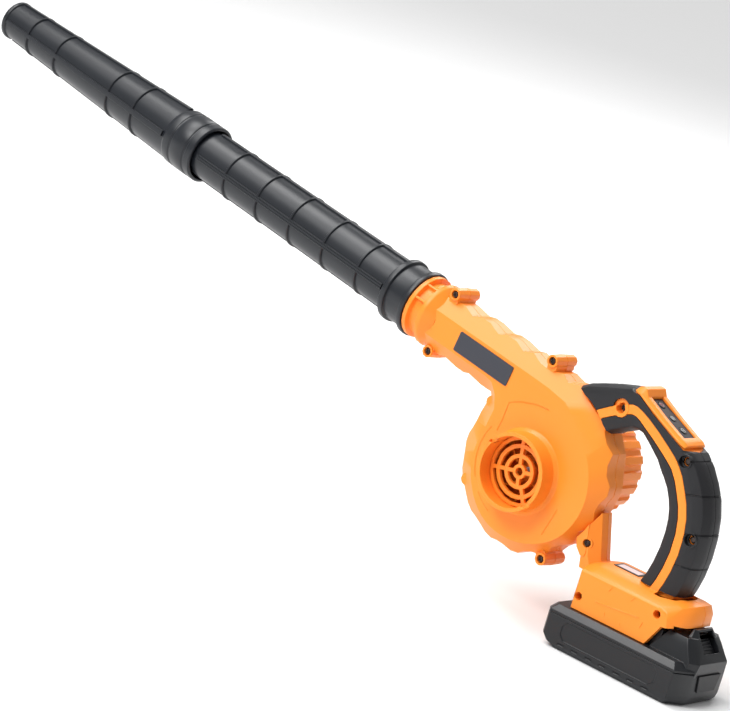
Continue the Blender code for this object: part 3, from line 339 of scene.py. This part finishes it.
def pipe(name, start, outside, inside, rings, fins, grooves):
    """Lathe piece with ring ribs and four flat fins, finer than the CAD's."""
    d = AXIS
    e2 = Vector((0.0, 1.0, 0.0))
    e1 = e2.cross(d)
    origin = TUBE_LINE + AXIS * start
    angles = []
    for quarter in range(4):
        base = 90.0 * quarter
        for step, kind in ((-6.3, 0), (-5.9, 1), (-FIN_HALF, 2), (-3.1, 2), (-2.8, 3), (-2.2, 3), (-1.9, 2),
                           (0.0, 2), (1.9, 2), (2.2, 3), (2.8, 3), (3.1, 2), (FIN_HALF, 2), (5.9, 1), (6.3, 0)):
            angles.append((base + step, kind))
        for k in range(1, 16):
            angles.append((base + 6.3 + (90.0 - 12.6) * k / 16, 0))
    rows = []
    for degrees, kind in angles:
        a = math.radians(degrees)
        spoke = e1 * math.cos(a) + e2 * math.sin(a)
        row = []
        for h, r, ribbed in outside:
            up = 0.0
            if ribbed is not None:
                rib = max((1.0 - max(0.0, abs(h - ring) - 0.7) / 0.7 for ring in rings), default=0.0)
                rib = RIB * max(0.0, min(1.0, rib)) ** 0.5
                inside_fin = fins[0] <= h <= fins[1]
                fin = (0.0, 0.8 * RIB, RIB, RIB - (0.7 if grooves else 0.0))[kind] if inside_fin else 0.0
                up = max(rib, fin) if kind != 3 else (fin if inside_fin else rib)
            row.append(origin + d * h + spoke * (r + up))
        for h, r in inside:
            row.append(origin + d * h + spoke * r)
        rows.append(row)
    bm = bmesh.new()
    grid = [[bm.verts.new(p * MM) for p in row] for row in rows]
    count = len(rows[0])
    for i, row in enumerate(grid):
        after = grid[(i + 1) % len(grid)]
        for k in range(count):
            m = (k + 1) % count
            bm.faces.new((row[k], row[m], after[m], after[k]))
    bmesh.ops.recalc_face_normals(bm, faces=bm.faces)
    obj = as_object(name, bm)
    obj.data.shade_smooth()
    obj.data.set_sharp_from_angle(angle=math.radians(28.0))
    return obj


def barrel(radius_at, h0, h1, rings, fins):
    """Stations of a ribbed stretch, close together round each rib."""
    marks = {h0, h1, fins[0], fins[0] + 0.5, fins[0] - 0.01, fins[1], fins[1] - 0.5, fins[1] + 0.01}
    for ring in rings:
        marks |= {ring + k for k in (-1.4, -1.2, -0.95, -0.7, 0.0, 0.7, 0.95, 1.2, 1.4)}
    h = h0
    while h < h1:
        marks.add(h)
        h += ARC
    return [(h, radius_at(h), True) for h in sorted(marks) if h0 <= h <= h1]


def tube_radius(h):
    return 21.9 - 1.7 * h / TUBE_LEN


def nozzle_radius(h):
    return 23.2 - 7.4 * (h - 36.0) / (NOZZLE_LEN - 36.0)


tube_rings = [58.8 + 39.8 * i for i in range(5)]
tube_fins = (30.0, 252.0)
collar = [(0.0, 26.9), (0.25, 27.5), (0.8, 27.7), (3.9, 27.7), (4.4, 27.5), (4.7, 27.0), (5.4, 25.1),
          (6.2, 24.95),
          (21.0, 24.8), (21.3, 25.2), (21.6, 26.4), (22.1, 26.85), (23.0, 26.95), (25.4, 26.95), (26.2, 26.8),
          (26.7, 26.2), (27.2, 24.4), (27.6, 23.2), (28.2, 22.4)]
outside = [(h, r, None) for h, r in collar] + barrel(tube_radius, 29.0, 281.4, tube_rings, tube_fins)
outside += [(282.0, tube_radius(282.0) - 0.5, None)]
inside = [(282.0, 19.4), (150.0, 20.5), (18.0, 21.7), (0.6, 21.8), (0.0, 22.4)]
stand_for(pipe("tube_fine", TUBE_START, outside, inside, tube_rings, tube_fins, True), "blow_tube")

nozzle_rings = [80.0, 113.0, 186.6, 225.0]
nozzle_fins = (38.0, NOZZLE_LEN - 5.0)
cuff = [(0.0, 23.6), (0.2, 24.3), (0.7, 24.8), (1.2, 25.15), (6.6, 25.2), (6.9, 25.0), (7.3, 24.5), (8.2, 24.3),
        (9.1, 24.5), (9.5, 25.0), (9.9, 25.2), (24.0, 25.2), (24.4, 25.0), (24.8, 24.5), (25.8, 24.3),
        (26.6, 24.5),
        (27.0, 24.95), (27.6, 25.05), (33.6, 24.85), (34.4, 24.6), (35.0, 24.0), (35.6, 23.5), (36.4, 23.2)]
lip = [(255.6, 15.95), (255.9, 16.6), (256.4, 17.2), (257.0, 17.4), (258.8, 17.4), (259.3, 17.2), (259.5, 16.7)]
outside = [(h, r, None) for h, r in cuff] + barrel(nozzle_radius, 37.2, 255.2, nozzle_rings, nozzle_fins)
outside += [(h, r, None) for h, r in lip]
inside = [(259.5, 14.6), (259.0, 14.2), (100.0, 14.3), (60.0, 19.0), (29.0, 21.5), (27.2, 22.2), (0.6, 22.4),
          (0.0, 22.9)]
stand_for(pipe("nozzle_fine", NOZZLE_START, outside, inside, nozzle_rings, nozzle_fins, False), "nozzle")

# ---------------------------------------------------------------- fan housing

FAN = Vector((-128.0, 0.0, 108.4))
FACE = -20.0


def arc(radius, first, last, steps=10):
    """Points round the fan axis on the housing's face, angles in degrees from +X."""
    points = []
    for k in range(steps + 1):
        a = math.radians(first + (last - first) * k / steps)
        points.append((FAN.x + radius * math.cos(a), FACE, FAN.z + radius * math.sin(a)))
    return points


front = welded("volute_front")
wedge = [(-160.3, FACE, 129.7), (-158.4, FACE, 138.3), (-157.0, FACE, 153.2), (-148.5, FACE, 157.2),
         (-132.4, FACE, 160.7), (-121.2, FACE, 160.7)]
for k, points in enumerate((wedge, arc(44.0, 150.0, 206.0), arc(44.0, 222.0, 244.0, 5),
                            [(-88.4, FACE, 93.1), (-91.0, FACE, 84.4), (-95.1, FACE, 70.5)])):
    carve(front, wire("line_%d" % k, points, 0.42))
stand_for(soften(front, 0.35), "volute_front")
for name, width in (("volute_rear", 0.35), ("motor_cover", 0.3), ("inlet_guard", 0.25), ("duct_plate", 0.1)):
    stand_for(soften(welded(name), width), name)

# ---------------------------------------------------------------- handle

for name in ("handle_left", "handle_right"):
    stand_for(soften(welded(name), 0.3), name)

# moulded ridge and short ticks on the side of the base, as runs of X and Z
BASE_MARKS = (
    ((-41.0, 44.1), (-28.0, 45.0), (-16.7, 45.7), (-2.0, 47.2), (11.3, 48.6)),
    ((-17.5, 60.7), (-19.8, 56.5)), ((3.0, 61.1), (0.6, 57.4)), ((-18.2, 40.2), (-17.3, 37.9)),
    ((-3.0, 37.9), (-1.7, 35.7)), ((15.1, 46.4), (13.8, 42.0)))
for k, run in enumerate(BASE_MARKS):
    points = [onto(nodes["handle_left"], x, z) for x, z in run]
    mark = wire("base_mark_%d" % k, points, 0.45, mat=ORANGE)
    mark.data.shade_smooth()
    extra(mark, "blower")
stand_for(soften(welded("panel_bezel"), 0.6, rounds=3), "panel_bezel")

# cross grooves on the rear grip, as points on its outer edge and directions across it
GROOVES = ((22.1, 173.6, 13.9, 4.7), (37.5, 150.7, 27.0, 6.1),
           (46.1, 124.1, 25.7, 6.7), (45.0, 94.5, 18.0, 1.0))
GROOVE_R = 0.5
# scoops along the top of the forward grip: X and Z of each roller's centre
SCOOPS = ((-99.0, 195.6), (-86.0, 199.6), (-72.5, 203.8))
SCOOP_R = 5.0
for side in ("left", "right"):
    grip = welded("outer_grip_" + side)
    for x, z, run_x, run_z in GROOVES:
        across = Vector((run_z, 0.0, -run_x)).normalized()
        for loop in section(grip, (x, 0.0, z), across):
            carve(grip, wire("groove", loop, GROOVE_R, closed=True))
    for x, z in SCOOPS:
        bm = bmesh.new()
        bmesh.ops.create_cone(bm, cap_ends=True, segments=48, radius1=SCOOP_R * MM, radius2=SCOOP_R * MM,
                              depth=60 * MM, matrix=Matrix.Translation(Vector((x, 0, z)) * MM)
                              @ Matrix.Rotation(math.radians(90.0), 4, "X"))
        carve(grip, as_object("roller", bm))
    stand_for(soften(grip, 0.3), "outer_grip_" + side)
    stand_for(soften(welded("inner_grip_" + side), 0.25), "inner_grip_" + side)

# ---------------------------------------------------------------- control panel and base sticker

PANEL_MID = Vector((-29.0, 0.0, 188.4))
PANEL_RUN = Vector((0.9026, 0.0, -0.4305))
PANEL_UP = Vector((0.4305, 0.0, 0.9026))
RED_INK = moulded("red_ink", (0.42, 0.035, 0.035), 0.4, spread=0.03)
WHITE_INK = moulded("pale_ink", (0.55, 0.55, 0.55), 0.4, spread=0.03)

stand_for(soften(welded("control_panel"), 0.2), "control_panel")
for name in ("power_button", "speed_up_button", "speed_down_button"):
    stand_for(soften(welded(name), 0.25, rounds=3), name)


def ring_mark(name, centre, radius, first, last, mat, body, thickness=0.16):
    """Thin printed arc on a key top."""
    points = []
    for k in range(19):
        a = math.radians(first + (last - first) * k / 18)
        points.append(centre + PANEL_RUN * radius * math.cos(a) + SIDEWAYS * radius * math.sin(a))
    return extra(wire(name, points, thickness, mat=mat), body)


def bar_mark(name, centre, way, half, mat, body, thickness=0.16):
    """Thin printed bar on a key top."""
    return extra(wire(name, [centre - way * half, centre + way * half], thickness, mat=mat), body)


KEYS = (("power", -13.0, RED_INK, "power_key"), ("faster", 0.5, WHITE_INK, "speed_up_key"),
        ("slower", 13.0, WHITE_INK, "speed_down_key"))
for tag, run, ink, body in KEYS:
    top = PANEL_MID + PANEL_RUN * run + PANEL_UP * 0.94
    if tag == "power":
        ring_mark("power_arc", top, 1.5, 215.0, 505.0, ink, body)
        bar_mark("power_bar", top - PANEL_RUN * 1.2, PANEL_RUN, 0.9, ink, body)
    else:
        ring_mark(tag + "_ring", top, 1.9, 0.0, 360.0, ink, body, 0.12)
        bar_mark(tag + "_dash", top, SIDEWAYS, 0.9, ink, body)
    if tag == "faster":
        bar_mark(tag + "_post", top, PANEL_RUN, 0.9, ink, body)

low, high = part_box("base_sticker")
low, high = low / MM, high / MM
stand_for(soften(welded("base_sticker"), 0.08), "base_sticker", BLACK)
STICKER_INSET = 2.0
bm = bmesh.new()
bmesh.ops.create_cube(bm, size=1.0)
for v in bm.verts:
    x = low.x + STICKER_INSET if v.co.x < 0 else high.x - STICKER_INSET
    y = low.y + STICKER_INSET if v.co.y < 0 else high.y - STICKER_INSET
    z = high.z - 0.1 if v.co.z < 0 else high.z + 0.06
    v.co = Vector((x, y, z)) * MM
extra(soften(as_object("sticker_centre", bm, STICKER), 0.05), "blower")

# ---------------------------------------------------------------- screws

for k in range(1, 7):
    for family in ("housing_screw_", "handle_screw_"):
        stand_for(soften(welded(family + str(k)), 0.12), family + str(k))

# ---------------------------------------------------------------- battery

case = welded("battery_case")
for side in (-1, 1):
    for k in range(7):
        x = -44.0 + 13.0 * k
        run = [(x, side * 37.0, 4.4), (x + 6.0, side * 37.0, 4.4)]
        carve(case, wire("notch", run, 1.0))
stand_for(soften(case, 0.5, rounds=3), "battery_case")
stand_for(soften(welded("battery_cover"), 0.45, rounds=3), "battery_cover")
stand_for(soften(welded("battery_latch"), 0.3), "battery_latch")

stand_for(soften(welded("battery_pad"), 0.25), "battery_pad")

# raised frame round the latch window
LATCH_MID = Vector((54.6, 0.0, 44.4))
SLOPE_RUN = Vector((0.66, 0.0, -0.7513))
SLOPE_UP = Vector((0.7513, 0.0, 0.66))
frame_line = [LATCH_MID + SLOPE_RUN * a + SIDEWAYS * b - SLOPE_UP * 0.2 for a, b in
              ((-8.7, -9.4), (8.9, -11.2), (8.9, 11.2), (-8.7, 9.4))]
extra(wire("latch_frame", frame_line, 0.55, closed=True, mat=BLACK), "battery")


# ---------------------------------------------------------------- floor and light

def softbox(name, toward, distance, size, watts):
    """Square area light that faces the object from a direction."""
    lamp = bpy.data.lights.new(name, "AREA")
    lamp.size = size
    lamp.energy = watts
    obj = bpy.data.objects.new(name, lamp)
    way = Vector(toward).normalized()
    obj.location = MIDDLE + way * distance
    obj.rotation_euler = way.to_track_quat("Z", "Y").to_euler()
    bpy.context.collection.objects.link(obj)


MIDDLE = (Vector(cad_box[0]) + Vector(cad_box[1])) / 2
softbox("key", (-0.18, -0.94, 0.80), 4.4, 1.7, 80.0)
softbox("top", (-0.38, -0.10, 0.90), 2.6, 1.1, 32.0)
softbox("edge", (-0.3, 1.0, 0.9), 3.4, 1.6, 45.0)

sun = bpy.data.lights.new("sun", "SUN")
sun.energy = 1.4
sun.angle = math.radians(40.0)
lamp = bpy.data.objects.new("sun", sun)
lamp.rotation_euler = Vector((-0.30, -0.62, 1.0)).to_track_quat("Z", "Y").to_euler()
bpy.context.collection.objects.link(lamp)

world = bpy.data.worlds.new("studio")
world.use_nodes = True
world.node_tree.nodes["Background"].inputs["Color"].default_value = (1.0, 1.0, 1.0, 1.0)
world.node_tree.nodes["Background"].inputs["Strength"].default_value = 0.46
bpy.context.scene.world = world

FLOOR_HALF = 14.0
bm = bmesh.new()
corners = [bm.verts.new((x * FLOOR_HALF, y * FLOOR_HALF, cad_box[0][2] - 0.0004))
           for x, y in ((-1, -1), (1, -1), (1, 1), (-1, 1))]
bm.faces.new(corners)
mesh = bpy.data.meshes.new("floor")
bm.to_mesh(mesh)
bm.free()
floor = bpy.data.objects.new("floor", mesh)
bpy.context.collection.objects.link(floor)
repaint(floor, moulded("pale_floor", (0.86, 0.86, 0.86), 0.8, spread=0.03, mottle=0.01, grain=40.0, depth=0.01))
